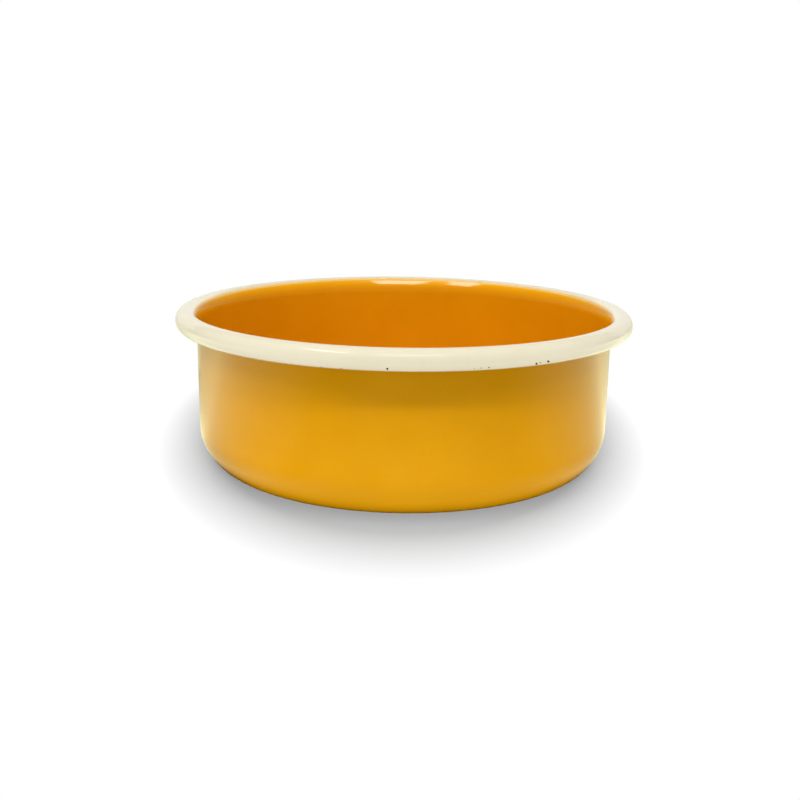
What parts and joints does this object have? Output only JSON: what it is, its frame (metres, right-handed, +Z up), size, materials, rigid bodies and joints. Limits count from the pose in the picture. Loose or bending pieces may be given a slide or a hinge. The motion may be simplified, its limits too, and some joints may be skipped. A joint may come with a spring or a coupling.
{
  "type": "pet bowl",
  "caption": "Round shallow enamelled steel pet bowl with straight walls, a rounded base corner and a thick rolled rim in a second colour, for food or water.",
  "frame": {"origin": "middle of the plane that the bowl stands on, on its axis", "axes": "+Z up along the bowl's axis, towards its open mouth; X and Y in the plane that it stands on"},
  "size_m": [0.2, 0.2, 0.0713],
  "materials": {
    "sheet_steel": "satin",
    "ground_enamel": "gloss",
    "inside_mustard": "gloss",
    "rim_cream": "gloss",
    "outside_mustard": "gloss"
  },
  "bodies": {
    "root": {"steel_pan": "sheet_steel", "ground_coat_inside": "ground_enamel", "ground_coat_outside": "ground_enamel", "inside_enamel": "inside_mustard", "rim_enamel": "rim_cream", "outside_enamel": "outside_mustard"}
  },
  "joints": []
}
